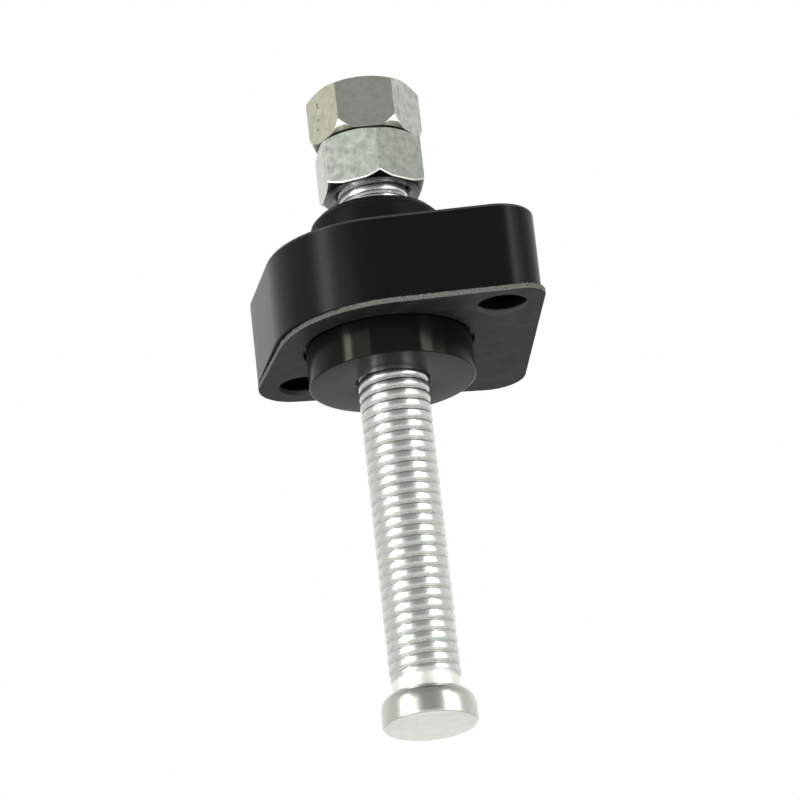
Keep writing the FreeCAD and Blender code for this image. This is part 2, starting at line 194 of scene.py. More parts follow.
def black_anodised_aluminium(name, dark, pale, sheen, gloss, tint="#ffffff", grooves=0.0):
    """Cut aluminium with a dyed oxide film: near black face on, with a satin gloss that brightens at a
    slant. The cutter leaves long shallow waves down the walls, and the film a fine grain. On turned faces
    the gloss spreads across the tool's fine grooves, which run round the axis."""
    material, tree, place = new_material(name)
    wave_width, wave_height, wave_depth = 2.2, 90.0, 0.012
    grain, grain_depth = 0.12, 0.01  # the real grain is too fine to show, so it is drawn coarser
    quarter_turn = 0.25
    glossy, matt = gloss
    stretch = [1 / (wave_width * MM), 1 / (wave_width * MM), 1 / (wave_height * MM)]
    along = add(tree, "ShaderNodeMapping", {"Vector": place, "Scale": stretch})
    waves = add(tree, "ShaderNodeTexNoise", {"Vector": along, "Scale": 1.0, "Detail": 2.0})
    fine = add(tree, "ShaderNodeTexNoise", {"Vector": place, "Scale": 1 / (grain * MM), "Detail": 3.0})
    cutter = add(tree, "ShaderNodeBump", {"Height": waves, "Strength": 0.5, "Distance": wave_depth * MM})
    film = add(tree, "ShaderNodeBump", {
        "Height": fine, "Strength": 0.12, "Distance": grain_depth * MM, "Normal": cutter})
    rough = add(tree, "ShaderNodeMapRange", {"Value": fine, "To Min": glossy, "To Max": matt})
    colour = add(tree, "ShaderNodeMix", {
        SHARE: waves, FIRST_COLOUR: linear(dark), SECOND_COLOUR: linear(pale)}, data_type="RGBA")
    around = add(tree, "ShaderNodeTangent", direction_type="RADIAL", axis="Z")
    shader = add(tree, "ShaderNodeBsdfPrincipled", {
        "Base Color": colour.outputs[MIXED_COLOUR],
        "Roughness": rough,
        "Normal": film,
        "Specular IOR Level": sheen,
        "Specular Tint": linear(tint),
        "Anisotropic": grooves,
        "Anisotropic Rotation": quarter_turn,
        "Tangent": around})
    add(tree, "ShaderNodeOutputMaterial", {"Surface": shader})
    return material


def gasket_fibre():
    """Compressed fibre sheet, graphite grey and matte, with a faint felted mottle."""
    material, tree, place = new_material("compressed fibre sheet")
    felt, felt_depth, mottle = 0.25, 0.02, 2.5
    fibres = add(tree, "ShaderNodeTexNoise", {"Vector": place, "Scale": 1 / (felt * MM), "Detail": 4.0})
    patches = add(tree, "ShaderNodeTexNoise", {"Vector": place, "Scale": 1 / (mottle * MM), "Detail": 2.0})
    both = add(tree, "ShaderNodeMath", {0: fibres, 1: patches}, operation="MULTIPLY")
    tone = add(tree, "ShaderNodeMapRange", {"Value": both, "From Min": 0.15, "From Max": 0.4})
    colour = add(tree, "ShaderNodeMix", {
        SHARE: tone, FIRST_COLOUR: linear("#141414"), SECOND_COLOUR: linear("#323232")}, data_type="RGBA")
    nap = add(tree, "ShaderNodeBump", {"Height": fibres, "Strength": 0.25, "Distance": felt_depth * MM})
    shader = add(tree, "ShaderNodeBsdfPrincipled", {
        "Base Color": colour.outputs[MIXED_COLOUR],
        "Roughness": 0.55,
        "Normal": nap,
        "Specular IOR Level": 0.2})
    add(tree, "ShaderNodeOutputMaterial", {"Surface": shader})
    return material


def gasket_cut_edge(name, dark, pale):
    """Torn fibres where the sheet was cut: paler than its face, and dusty."""
    material, tree, place = new_material(name)
    tuft, tuft_depth = 0.18, 0.06
    fibres = add(tree, "ShaderNodeTexNoise", {"Vector": place, "Scale": 1 / (tuft * MM), "Detail": 4.0})
    tone = add(tree, "ShaderNodeMapRange", {"Value": fibres, "From Min": 0.35, "From Max": 0.68})
    colour = add(tree, "ShaderNodeMix", {
        SHARE: tone, FIRST_COLOUR: linear(dark), SECOND_COLOUR: linear(pale)}, data_type="RGBA")
    nap = add(tree, "ShaderNodeBump", {"Height": fibres, "Strength": 0.6, "Distance": tuft_depth * MM})
    shader = add(tree, "ShaderNodeBsdfPrincipled", {
        "Base Color": colour.outputs[MIXED_COLOUR],
        "Roughness": 0.9,
        "Normal": nap,
        "Specular IOR Level": 0.2})
    add(tree, "ShaderNodeOutputMaterial", {"Surface": shader})
    return material


def zinc_plate(name, dark, pale, patch, gloss, relief, stain_and_side_light=None, pits=(), dull=None):
    """Bright zinc plate on steel: a pale metal whose crystals leave a faint mottle in its tone and gloss.
    A stain and side light is a dark tone, a pale tone and the place where it starts to tint the -X side: on
    the end nut a real yellowed tinge, on the lock nut a painted highlight. Pits are small dark spots.
    Within a dull radius, in a thread's roots, the plate has lost its gloss."""
    material, tree, place = new_material(name)
    least, most = 0.3, 0.7  # of the noise, which seldom goes beyond
    glossy, matt = gloss
    patches = add(tree, "ShaderNodeTexNoise", {
        "Vector": place, "Scale": 1 / (patch * MM), "Detail": 4.0, "Roughness": 0.6})
    tone = add(tree, "ShaderNodeMapRange", {"Value": patches, "From Min": least, "From Max": most})
    colour = add(tree, "ShaderNodeMix", {
        SHARE: tone, FIRST_COLOUR: linear(dark), SECOND_COLOUR: linear(pale)}, data_type="RGBA")
    # The -X side takes a second pair of tones, a real tinge on one nut and a painted highlight on the
    # other.
    if stain_and_side_light:
        side_dark, side_pale, start = stain_and_side_light
        fade = 0.5
        across = add(tree, "ShaderNodeSeparateXYZ", {0: place}).outputs["X"]
        share = add(tree, "ShaderNodeMapRange", {
            "Value": across, "From Min": start * MM, "From Max": (start - fade) * MM})
        side_toned = add(tree, "ShaderNodeMix", {
            SHARE: tone, FIRST_COLOUR: linear(side_dark), SECOND_COLOUR: linear(side_pale)},
            data_type="RGBA")
        colour = add(tree, "ShaderNodeMix", {
            SHARE: share,
            FIRST_COLOUR: colour.outputs[MIXED_COLOUR],
            SECOND_COLOUR: side_toned.outputs[MIXED_COLOUR]}, data_type="RGBA")
    pit_core, pit_rim = 0.08, 0.24
    for spot in pits:
        away = add(tree, "ShaderNodeVectorMath", {0: place, 1: Vector(spot) * MM}, operation="DISTANCE")
        clear = add(tree, "ShaderNodeMapRange", {
            "Value": away.outputs["Value"], "From Min": pit_core * MM, "From Max": pit_rim * MM})
        colour = add(tree, "ShaderNodeMix", {
            SHARE: clear,
            FIRST_COLOUR: linear("#5e5f50"),
            SECOND_COLOUR: colour.outputs[MIXED_COLOUR]}, data_type="RGBA")
    rough = add(tree, "ShaderNodeMapRange", {
        "Value": patches, "From Min": least, "From Max": most, "To Min": matt, "To Max": glossy})
    if dull:
        fade, dull_rough = 0.08, 0.65
        flat = add(tree, "ShaderNodeVectorMath", {0: place, 1: (1, 1, 0)}, operation="MULTIPLY")
        radius = add(tree, "ShaderNodeVectorMath", {0: flat}, operation="LENGTH").outputs["Value"]
        bright = add(tree, "ShaderNodeMapRange", {
            "Value": radius, "From Min": (dull - fade) * MM, "From Max": (dull + fade) * MM})
        rough = add(tree, "ShaderNodeMix", {SHARE: bright, FIRST: dull_rough, SECOND: rough})
    crystals = add(tree, "ShaderNodeBump", {"Height": patches, "Strength": 0.5, "Distance": relief * MM})
    shader = add(tree, "ShaderNodeBsdfPrincipled", {
        "Base Color": colour.outputs[MIXED_COLOUR],
        "Metallic": 1.0,
        "Roughness": rough,
        "Normal": crystals})
    add(tree, "ShaderNodeOutputMaterial", {"Surface": shader})
    return material


def seal_rubber():
    """Moulded nitrile rubber: black and matte, with a fine grain."""
    material, tree, place = new_material("nitrile rubber")
    grain, grain_depth = 0.15, 0.01  # the real grain is too fine to show, so it is drawn coarser
    fine = add(tree, "ShaderNodeTexNoise", {"Vector": place, "Scale": 1 / (grain * MM), "Detail": 2.0})
    colour = add(tree, "ShaderNodeMix", {
        SHARE: fine, FIRST_COLOUR: linear("#121212"), SECOND_COLOUR: linear("#1e1e1e")}, data_type="RGBA")
    skin = add(tree, "ShaderNodeBump", {"Height": fine, "Strength": 0.2, "Distance": grain_depth * MM})
    shader = add(tree, "ShaderNodeBsdfPrincipled", {
        "Base Color": colour.outputs[MIXED_COLOUR],
        "Roughness": 0.6,
        "Normal": skin})
    add(tree, "ShaderNodeOutputMaterial", {"Surface": shader})
    return material


# Mesh building


def direction(angle):
    """The way of an angle in degrees, anticlockwise from +X."""
    return Vector((math.cos(math.radians(angle)), math.sin(math.radians(angle))))


def outline(sides, inset=0.0, run=4.0, step=6.0):
    """Points of a flange outline and the way each one faces, anticlockwise: straight sides with points
    about a run apart in millimetres, and tangent arcs with points about a step apart in degrees."""
    lines = [(direction(facing), distance - inset) for distance, facing, _ in sides]
    arcs = []
    for i, (_, facing, corner) in enumerate(sides):
        following = (i + 1) % len(sides)
        radius = corner - inset
        (n1, d1), (n2, d2) = lines[i], lines[following]
        d1, d2 = d1 - radius, d2 - radius
        across = n1.cross(n2)
        centre = Vector(((d1 * n2.y - d2 * n1.y) / across, (n1.x * d2 - n2.x * d1) / across))
        sweep = (sides[following][1] - facing) % 360
        arcs.append((centre, radius, facing, sweep))
    points = []
    for i, (centre, radius, facing, sweep) in enumerate(arcs):
        centre_before, radius_before, _, _ = arcs[i - 1]
        normal = lines[i][0]
        start = centre_before + normal * radius_before
        end = centre + normal * radius
        pieces = max(1, round((end - start).length / run))
        points += [(start.lerp(end, k / pieces), normal) for k in range(pieces)]
        steps = max(2, round(sweep / step))
        for k in range(steps):
            out = direction(facing + sweep * k / steps)
            points.append((centre + out * radius, out))
    return points


def loop(bm, points, height):
    """New points of a mesh at a height, from places in millimetres."""
    return [bm.verts.new((x * MM, y * MM, height * MM)) for x, y in points]


def circle(radius, columns, centre=(0.0, 0.0)):
    """Places round a circle, anticlockwise from +X."""
    turns = [2 * math.pi * i / columns for i in range(columns)]
    return [(centre[0] + radius * math.cos(t), centre[1] + radius * math.sin(t)) for t in turns]


def band(bm, first, second, material=0):
    """A closed strip of faces between two loops of as many points."""
    count = len(first)
    for i in range(count):
        k = (i + 1) % count
        bm.faces.new((first[i], first[k], second[k], second[i])).material_index = material


def fill(bm, loops):
    """A flat face between an outer loop and the loops of its holes."""
    edges = []
    for points in loops:
        for i in range(len(points)):
            pair = (points[i - 1], points[i])
            edges.append(bm.edges.get(pair) or bm.edges.new(pair))
    bmesh.ops.triangle_fill(bm, use_beauty=True, use_dissolve=False, edges=edges)


def soften(points, steps=4):
    """Rounds the corners of a run of points, each a radius, a height and how far its corner is cut back."""
    most = 0.49  # of a side, so that the cuts at its two ends never meet
    made = []
    for i, (radius, height, cut) in enumerate(points):
        here = Vector((radius, height))
        if cut == 0 or i in (0, len(points) - 1):
            made.append(here)
            continue
        before = Vector(points[i - 1][:2]) - here
        after = Vector(points[i + 1][:2]) - here
        start = here + before.normalized() * min(cut, before.length * most)
        end = here + after.normalized() * min(cut, after.length * most)
        for k in range(steps + 1):
            t = k / steps
            made.append(start * (1 - t) ** 2 + here * 2 * t * (1 - t) + end * t ** 2)
    return made


def turn(bm, points, columns):
    """Turns a run of points round the axis. Returns the loops of its first and last points."""
    first = last = None
    for radius, height in points:
        if radius == 0:
            pole = bm.verts.new((0, 0, height * MM))
            for i in range(columns):
                bm.faces.new((last[i], last[(i + 1) % columns], pole))
            return first, [pole]
        ring = loop(bm, circle(radius, columns), height)
        if last:
            band(bm, last, ring)
        first = first or ring
        last = ring
    return first, last


def paint(bm, start, material):
    """Gives a material to every face made since a count of faces."""
    bm.faces.ensure_lookup_table()
    for face in bm.faces[start:]:
        face.material_index = material


def finished(name, bm, materials, sharp=32.0):
    """Welds a closed shape, turns its faces outwards and makes it an object at the origin."""
    bmesh.ops.remove_doubles(bm, verts=bm.verts, dist=WELD)
    bmesh.ops.recalc_face_normals(bm, faces=bm.faces)
    mesh = bpy.data.meshes.new(name)
    bm.to_mesh(mesh)
    bm.free()
    for material in materials:
        mesh.materials.append(material)
    mesh.shade_smooth()
    mesh.set_sharp_from_angle(angle=math.radians(sharp))
    piece = bpy.data.objects.new(name, mesh)
    bpy.context.scene.collection.objects.link(piece)
    return piece


def stand_for(piece, node, body):
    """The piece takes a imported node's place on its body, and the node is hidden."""
    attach(piece, body)
    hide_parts(node)


# Geometry node trees


def input_sockets(tree, sockets):
    """Gives a tree its geometry output and its named inputs, and returns the inputs."""
    tree.interface.new_socket("Geometry", in_out="OUTPUT", socket_type="NodeSocketGeometry")
    for name, kind in sockets:
        tree.interface.new_socket(name, in_out="INPUT", socket_type="NodeSocket" + kind)
    return add(tree, "NodeGroupInput").outputs


def run_tree(tree, values, start=None):
    """Runs a tree with values for its named inputs and returns the result as a plain mesh."""
    carrier = bpy.data.objects.new("carrier", start or bpy.data.meshes.new("carrier"))
    bpy.context.scene.collection.objects.link(carrier)
    modifier = carrier.modifiers.new("nodes", "NODES")
    modifier.node_group = tree
    for item in tree.interface.items_tree:
        if item.in_out == "INPUT" and item.name in values:
            modifier[item.identifier] = values[item.name]
    evaluated = carrier.evaluated_get(bpy.context.evaluated_depsgraph_get())
    mesh = bpy.data.meshes.new_from_object(evaluated)
    bpy.data.objects.remove(carrier)
    return mesh


def thread_tree():
    """A helical thread as an open tube round Z. Its rows follow the helix, so that crest and root stay
    clean, and both ends draw in to a plain circle. The same helix, with other sizes, is the bolt's thread
    and a nut's."""
    tree = bpy.data.node_groups.new("screw thread", "GeometryNodeTree")
    given = input_sockets(tree, [
        ("Low", "Float"), ("High", "Float"), ("Crest", "Float"), ("Depth", "Float"), ("Pitch", "Float"),
        ("Low Radius", "Float"), ("Low Fade", "Float"), ("High Radius", "Float"), ("High Fade", "Float"),
        ("Rows", "Int"), ("Columns", "Int"), ("Phase", "Float"), ("Crest Power", "Float"),
        ("Material", "Material")])
    low, high, pitch = given["Low"], given["High"], given["Pitch"]
    spare_below, spare = 2.0, 4.0  # turns beyond the ends, for the helix's slant
    length = add(tree, "ShaderNodeMath", {0: high, 1: low}, operation="SUBTRACT")
    turns = add(tree, "ShaderNodeMath", {0: length, 1: pitch}, operation="DIVIDE")
    whole_turns = add(tree, "ShaderNodeMath", {0: turns}, operation="CEIL")
    all_turns = add(tree, "ShaderNodeMath", {0: whole_turns, 1: spare}, operation="ADD")
    rows = add(tree, "ShaderNodeMath", {0: all_turns, 1: given["Rows"]}, operation="MULTIPLY")
    lines = add(tree, "ShaderNodeMath", {0: rows, 1: 1.0}, operation="ADD")
    columns = add(tree, "ShaderNodeMath", {0: given["Columns"], 1: 1.0}, operation="ADD")
    grid = add(tree, "GeometryNodeMeshGrid", {
        "Size X": 1.0, "Size Y": 1.0, "Vertices X": columns, "Vertices Y": lines})

    # A point's place on the grid, from 0 to 1 each way, is its turn round the axis and its row along it.
    place = add(tree, "ShaderNodeSeparateXYZ", {0: add(tree, "GeometryNodeInputPosition")}).outputs
    around = add(tree, "ShaderNodeMath", {0: place["X"], 1: 0.5}, operation="ADD")
    along = add(tree, "ShaderNodeMath", {0: place["Y"], 1: 0.5}, operation="ADD")
    row = add(tree, "ShaderNodeMath", {0: along, 1: rows}, operation="MULTIPLY")
    whole_row = add(tree, "ShaderNodeMath", {0: row}, operation="ROUND")
    pitches = add(tree, "ShaderNodeMath", {0: whole_row, 1: given["Rows"]}, operation="DIVIDE")

    # Rows climb by one pitch a turn. They start on a whole pitch below the low end, so that every thread
    # on the same axis is in step with the others.
    low_pitches = add(tree, "ShaderNodeMath", {0: low, 1: pitch}, operation="DIVIDE")
    whole_pitches = add(tree, "ShaderNodeMath", {0: low_pitches}, operation="FLOOR")
    first = add(tree, "ShaderNodeMath", {0: whole_pitches, 1: spare_below}, operation="SUBTRACT")
    helix = add(tree, "ShaderNodeMath", {0: pitches, 1: around}, operation="ADD")
    in_step = add(tree, "ShaderNodeMath", {0: helix, 1: given["Phase"]}, operation="ADD")
    climbed = add(tree, "ShaderNodeMath", {0: in_step, 1: first}, operation="ADD")
    free_height = add(tree, "ShaderNodeMath", {0: climbed, 1: pitch}, operation="MULTIPLY")
    height = add(tree, "ShaderNodeClamp", {"Value": free_height, "Min": low, "Max": high})

    # The section is a plated thread's: broad round crests that fall away ever faster to a narrow root.
    half_pitches = add(tree, "ShaderNodeMath", {0: pitches, 1: 0.5}, operation="PINGPONG")
    share = add(tree, "ShaderNodeMath", {0: half_pitches, 1: 2.0}, operation="MULTIPLY")
    drop = add(tree, "ShaderNodeMath", {0: share, 1: given["Crest Power"]}, operation="POWER")
    depth = add(tree, "ShaderNodeMath", {0: drop, 1: given["Depth"]}, operation="MULTIPLY")
    section = add(tree, "ShaderNodeMath", {0: given["Crest"], 1: depth}, operation="SUBTRACT")
    from_low = add(tree, "ShaderNodeMath", {0: height, 1: low}, operation="SUBTRACT")
    low_share = add(tree, "ShaderNodeMath", {0: from_low, 1: given["Low Fade"]},
                    operation="DIVIDE", use_clamp=True)
    low_end = add(tree, "ShaderNodeMix", {SHARE: low_share, FIRST: given["Low Radius"], SECOND: section})
    to_high = add(tree, "ShaderNodeMath", {0: high, 1: height}, operation="SUBTRACT")
    high_share = add(tree, "ShaderNodeMath", {0: to_high, 1: given["High Fade"]},
                     operation="DIVIDE", use_clamp=True)
    radius = add(tree, "ShaderNodeMix", {SHARE: high_share, FIRST: given["High Radius"], SECOND: low_end})

    angle = add(tree, "ShaderNodeMath", {0: around, 1: 2 * math.pi}, operation="MULTIPLY")
    cosine = add(tree, "ShaderNodeMath", {0: angle}, operation="COSINE")
    sine = add(tree, "ShaderNodeMath", {0: angle}, operation="SINE")
    x = add(tree, "ShaderNodeMath", {0: cosine, 1: radius}, operation="MULTIPLY")
    y = add(tree, "ShaderNodeMath", {0: sine, 1: radius}, operation="MULTIPLY")
    spot = add(tree, "ShaderNodeCombineXYZ", {0: x, 1: y, 2: height})
    tube = add(tree, "GeometryNodeSetPosition", {"Geometry": grid, "Position": spot})
    welded = add(tree, "GeometryNodeMergeByDistance", {"Geometry": tube, "Distance": WELD})
    real = add(tree, "GeometryNodeRealizeInstances", {"Geometry": welded})
    painted = add(tree, "GeometryNodeSetMaterial", {"Geometry": real, "Material": given["Material"]})
    add(tree, "NodeGroupOutput", {"Geometry": painted})
    return tree


def thread(bm, tree, low, high, crest, depth, ends, fades, columns, material):
    """Adds a stretch of thread to a mesh, in its first material. Its ends are circles of given radii, on
    the columns of a turned piece."""
    mesh = run_tree(tree, {
        "Low": low * MM, "High": high * MM, "Crest": crest * MM, "Depth": depth * MM, "Pitch": PITCH * MM,
        "Low Radius": ends[0] * MM, "High Radius": ends[1] * MM,
        "Low Fade": fades[0] * MM, "High Fade": fades[1] * MM,
        "Rows": THREAD_ROWS, "Columns": columns, "Phase": THREAD_PHASE, "Crest Power": CREST_POWER,
        "Material": material})
    before = len(bm.faces)
    bm.from_mesh(mesh)
    bpy.data.meshes.remove(mesh)
    paint(bm, before, 0)


def bore_thread(bm, tree, low, high, columns, material):
    """Adds a stretch of inner thread to a mesh."""
    thread(bm, tree, low, high, BORE, BORE_DEPTH, (BORE, BORE), (BORE_FADE, BORE_FADE), columns, material)


def fuzz_tree():
    """Torn fibres along a closed line of edges: thin spikes that lean out of the line, each its own way."""
    tree = bpy.data.node_groups.new("cut edge fibres", "GeometryNodeTree")
    tree.interface.new_socket("Edge", in_out="INPUT", socket_type="NodeSocketGeometry")
    given = input_sockets(tree, [
        ("Fibres", "Int"), ("Length", "Float"), ("Thickness", "Float"), ("Spread", "Float"),
        ("Seed", "Int"), ("Material", "Material")])
    lean_least, lean_most = (-0.9, -0.9, -0.5), (0.9, 0.9, 0.9)
    shortest, longest = 0.3, 1.0
    line = add(tree, "GeometryNodeMeshToCurve", {"Mesh": given["Edge"]})
    spaced = add(tree, "GeometryNodeResampleCurve", {"Curve": line, "Count": given["Fibres"]})
    tangent = add(tree, "GeometryNodeInputTangent")
    outward = add(tree, "ShaderNodeVectorMath", {0: tangent, 1: (0, 0, 1)}, operation="CROSS_PRODUCT")
    held = add(tree, "GeometryNodeCaptureAttribute", {"Geometry": spaced})
    held.capture_items.new("VECTOR", "Outward")
    tree.links.new(outward.outputs[0], held.inputs["Outward"])
    lean = add(tree, "FunctionNodeRandomValue", {0: lean_least, 1: lean_most, "Seed": given["Seed"]},
               data_type="FLOAT_VECTOR")
    way = add(tree, "ShaderNodeVectorMath", {0: held.outputs["Outward"], 1: lean}, operation="ADD")
    rotation = add(tree, "FunctionNodeAlignRotationToVector", {"Vector": way}, axis="Z")
    spread = add(tree, "ShaderNodeCombineXYZ", {2: given["Spread"]})
    shift = add(tree, "FunctionNodeRandomValue", {0: (0, 0, 0), 1: spread, "Seed": given["Seed"]},
                data_type="FLOAT_VECTOR")
    scattered = add(tree, "GeometryNodeSetPosition", {"Geometry": held, "Offset": shift})
    size = add(tree, "FunctionNodeRandomValue", {2: shortest, 3: longest, "Seed": given["Seed"]},
               data_type="FLOAT")
    spike = add(tree, "GeometryNodeMeshCone", {
        "Vertices": 3, "Radius Top": 0.0, "Radius Bottom": given["Thickness"], "Depth": given["Length"]})
    fibres = add(tree, "GeometryNodeInstanceOnPoints", {
        "Points": scattered, "Instance": spike.outputs["Mesh"], "Rotation": rotation, "Scale": size})
    real = add(tree, "GeometryNodeRealizeInstances", {"Geometry": fibres})
    painted = add(tree, "GeometryNodeSetMaterial", {"Geometry": real, "Material": given["Material"]})
    add(tree, "NodeGroupOutput", {"Geometry": painted})
    return tree


# Pieces


def make_body(tree, materials):
    """The machined body: flange block, spigot, boss, screw holes and the threaded bore with its seal
    groove. Its materials are for milled faces, turned faces, the broken top edge, which is painted paler as
    a painted highlight, and the boss."""
    milled, turned, worn, matt = range(4)
    bm = bmesh.new()
    section = soften([
        (0.0, GASKET_TOP, 0),
        (0.0, BLOCK_TOP, EDGE_BREAK),
        (EDGE_BREAK + LAND, BLOCK_TOP, 0)])
    rows = [loop(bm, [p for p, _ in outline(BLOCK_SIDES, inset)], height) for inset, height in section]
    # The broken top edge and its land take a paler black: a painted highlight.
    for low, high in zip(rows, rows[1:]):
        band(bm, low, high, milled if low is rows[0] else worn)

    hole_tops, hole_feet = [], []
    for centre in SCREW_HOLES:
        section = soften([
            (SCREW_HOLE, GASKET_TOP, 0),
            (SCREW_HOLE, BLOCK_TOP, EDGE_BREAK),
            (SCREW_HOLE + EDGE_BREAK + LAND, BLOCK_TOP, 0)])
        rings = [loop(bm, circle(radius, HOLE_COLUMNS, centre), height) for radius, height in section]
        for low, high in zip(rings, rings[1:]):
            band(bm, low, high, milled)
        hole_feet.append(rings[0])
        hole_tops.append(rings[-1])

    block_faces = len(bm.faces)
    spigot_root, _ = turn(bm, soften([
        (SPIGOT_RADIUS - RELIEF, GASKET_TOP, 0),
        (SPIGOT_RADIUS - RELIEF, 0.0, 0),
        (SPIGOT_RADIUS, 0.0, FINE_ROUND),
        (SPIGOT_RADIUS, SPIGOT_FACE, SPIGOT_ROUND),
        (BORE + MOUTH, SPIGOT_FACE, FINE_ROUND),
        (BORE, SPIGOT_FACE + MOUTH, 0)]), BODY_COLUMNS)
    paint(bm, block_faces, turned)
    spigot_faces = len(bm.faces)
    _, boss_root = turn(bm, soften([
        (BORE, BOSS_TOP - MOUTH, 0),
        (BORE + MOUTH, BOSS_TOP, FINE_ROUND),
        (BOSS_RADIUS - BOSS_CHAMFER, BOSS_TOP, BOSS_TOP_ROUND),
        (BOSS_RADIUS, BOSS_TOP - BOSS_CHAMFER, BOSS_SIDE_ROUND),
        (BOSS_RADIUS, BLOCK_TOP, 0)]), BODY_COLUMNS)
    paint(bm, spigot_faces, matt)
    fill(bm, [rows[0], spigot_root] + hole_feet)
    fill(bm, [rows[-1], boss_root] + hole_tops)

    groove_low, groove_top = SEAL_LOW - SEAL_ROOM, SEAL_TOP + SEAL_ROOM
    groove_floor = BORE + SEAL_TOP - SEAL_LOW + SEAL_SLACK
    turn(bm, [
        Vector((BORE, groove_low)),
        Vector((groove_floor, groove_low)),
        Vector((groove_floor, groove_top)),
        Vector((BORE, groove_top))], BODY_COLUMNS)
    for low, high in ((SPIGOT_FACE + MOUTH, groove_low), (groove_top, BOSS_TOP - MOUTH)):
        bore_thread(bm, tree, low, high, BODY_COLUMNS, materials[milled])
    piece = finished("body_machined", bm, materials)
    stand_for(piece, "tensioner_body", "housing")


def ragged(point, facing, height, reach):
    """A place on the gasket's cut edge, moved in or out by a fixed noise."""
    shift = noise.noise(Vector((point.x / CUT_TUFT, point.y / CUT_TUFT, height / CUT_TUFT))) * reach
    return point + facing * shift


def make_gasket(tree, materials):
    """The fibre gasket, a little larger than the block, with a ragged cut edge and torn fibres along it.
    Its materials are for its faces, its cut edge and its punched holes, whose walls are a darker copy of
    the cut edge as painted shade."""
    faces, cut, hole_walls = range(3)
    bm = bmesh.new()
    rows = []
    for inset, height, reach in CUT_LINES:
        edge = outline(GASKET_SIDES, inset, *CUT_SPACING)
        rows.append(loop(bm, [ragged(p, facing, height, reach) for p, facing in edge], height))
    for low, high in zip(rows, rows[1:]):
        band(bm, low, high, cut)
    feet, tops = [rows[0]], [rows[-1]]
    holes = [(GASKET_BORE, (0.0, 0.0), BODY_COLUMNS)]
    holes += [(GASKET_HOLE, centre, HOLE_COLUMNS) for centre in SCREW_HOLES]
    for radius, centre, columns in holes:
        foot = loop(bm, circle(radius, columns, centre), GASKET_LOW)
        top = loop(bm, circle(radius, columns, centre), GASKET_FACE)
        band(bm, foot, top, hole_walls)
        feet.append(foot)
        tops.append(top)
    for loops in (feet, tops):
        before = len(bm.faces)
        fill(bm, loops)
        paint(bm, before, faces)
    piece = finished("gasket_sheet", bm, materials)
    stand_for(piece, "flange_gasket", "housing")

    line = bpy.data.meshes.new("cut edge")
    places = [p for p, _ in outline(GASKET_SIDES, FIBRE_INSET, *CUT_SPACING)]
    corners = [(p.x * MM, p.y * MM, FIBRE_LEVEL * MM) for p in places]
    line.from_pydata(corners, [(i, (i + 1) % len(corners)) for i in range(len(corners))], [])
    mesh = run_tree(tree, {
        "Fibres": FIBRE_COUNT, "Length": FIBRE_LENGTH * MM, "Thickness": FIBRE_THICKNESS * MM,
        "Spread": FIBRE_SPREAD * MM, "Seed": FIBRE_SEED, "Material": materials[cut]}, line)
    fibres = bpy.data.objects.new("gasket_fibres", mesh)
    bpy.context.scene.collection.objects.link(fibres)
    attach(fibres, "housing")


def make_bolt(tree, materials):
    """The adjuster bolt: the rolled thread, the plain neck and the head turned down to a round foot. Its
    materials are for the thread, the foot's turned side, the neck and the foot's face, whose paler zinc is
    a painted reflection of the floor."""
    rolled, turned, neck, face_reflection = range(4)
    bm = bmesh.new()
    thread(bm, tree, NECK_TOP, BOLT_END, CREST, THREAD_DEPTH, (NECK_RADIUS, CREST - END_CHAMFER),
           (RUNOUT, END_CHAMFER), COLUMNS, materials[rolled])
    threaded = len(bm.faces)
    turn(bm, [Vector((CREST - END_CHAMFER, BOLT_END)), Vector((0, BOLT_END))], COLUMNS)
    turn(bm, soften([
        (NECK_RADIUS, NECK_TOP, 0),
        (NECK_RADIUS, FOOT_TOP, NECK_ROUND),
        (FOOT_RADIUS - FOOT_SHOULDER_RUN, FOOT_TOP, FOOT_TOP_ROUND),
        (FOOT_RADIUS, FOOT_TOP - FOOT_SHOULDER, FOOT_SHOULDER_ROUND),
        (FOOT_RADIUS, FOOT_FACE, FOOT_FACE_ROUND),
        (0, FOOT_FACE, 0)], FOOT_STEPS), COLUMNS)
    bm.faces.ensure_lookup_table()
    for face in bm.faces[threaded:]:
        height = face.calc_center_median().z / MM
        if height > FOOT_TOP + NECK_FOOT:
            face.material_index = neck
        else:
            face.material_index = face_reflection if height < FOOT_FACE + FOOT_PAINTED_FACE else turned
    piece = finished("bolt_threaded", bm, materials)
    stand_for(piece, "adjuster_bolt", "adjuster")


def worn_end(size, ring, slope, worn, line):
    """Half section of a nut's end in one direction, as radii and heights above the end: from the wall,
    round its worn edge, down the cone and round again to the end's face. One more point stands on the
    cone at the height of a line, or at the cone's top where that is lower."""
    lean = math.radians(slope)
    wall = size - worn
    meeting = ring + worn * (1 - 1 / math.cos(lean)) / math.tan(lean)
    upper = (wall, max(worn, (wall - ring) * math.tan(lean) + worn / math.cos(lean)))
    lower = (min(meeting, wall), worn)
    arcs = []
    for (radius, height), first, last in ((upper, 0.0, 90.0 - slope), (lower, 90.0 - slope, 90.0)):
        angles = [math.radians(first + (last - first) * k / NUT_STEPS) for k in range(NUT_STEPS + 1)]
        arcs.append([(radius + worn * math.cos(a), height - worn * math.sin(a)) for a in angles])
    top, foot = Vector(arcs[0][-1]), Vector(arcs[1][0])
    share = 0.0 if top.y <= line else (top.y - line) / (top.y - foot.y)
    return arcs[0] + [top.lerp(foot, share)] + arcs[1]


